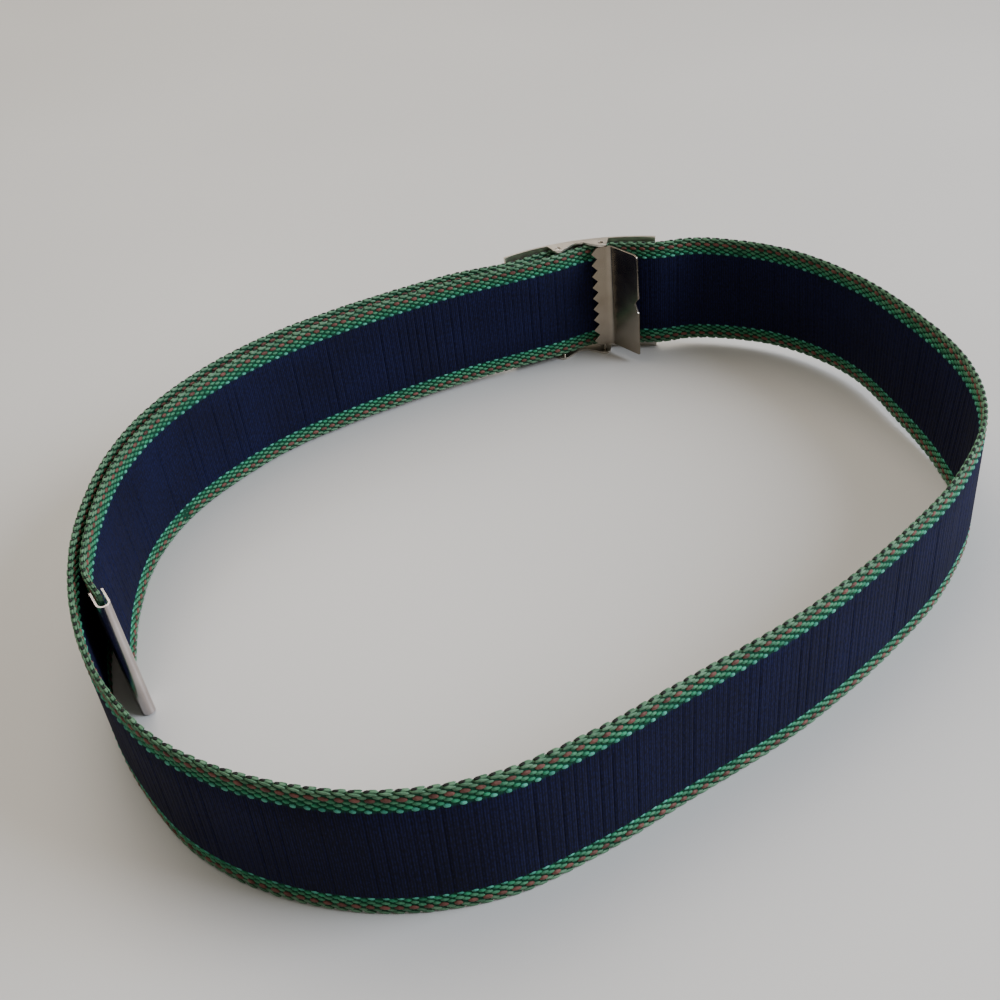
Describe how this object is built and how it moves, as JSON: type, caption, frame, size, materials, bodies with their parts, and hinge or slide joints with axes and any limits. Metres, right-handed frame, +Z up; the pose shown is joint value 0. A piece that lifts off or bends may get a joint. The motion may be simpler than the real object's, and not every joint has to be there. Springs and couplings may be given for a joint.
{
  "type": "woven fabric belt",
  "caption": "Woven fabric belt closed in a loop and standing on its edge, with a curved metal plate buckle, toothed lever and metal tip.",
  "frame": {"origin": "middle of the loop's footprint, on the surface that the belt stands on", "axes": "+Z up, across the strap's width; +X to the right along the loop's longer side; +Y towards the buckle at the back"},
  "size_m": [0.2461, 0.2247, 0.0414],
  "materials": {
    "webbing": "woven, dull",
    "nickel_plate": "bright nickel",
    "nickel_lever": "bright nickel",
    "nickel_tip": "bright nickel, slightly worn"
  },
  "bodies": {
    "belt": {"strap": "webbing", "buckle_plate": "nickel_plate", "strap_bar": "nickel_plate", "belt_tip": "nickel_tip"},
    "lever": {"cam_lever": "nickel_lever"}
  },
  "joints": [
    {"name": "lever_swing", "type": "hinge", "parent": "belt", "child": "lever", "pos_m": [0.03925, 0.10845, 0], "axis": [0, 0, 1], "range_deg": [-19, 14]}
  ]
}
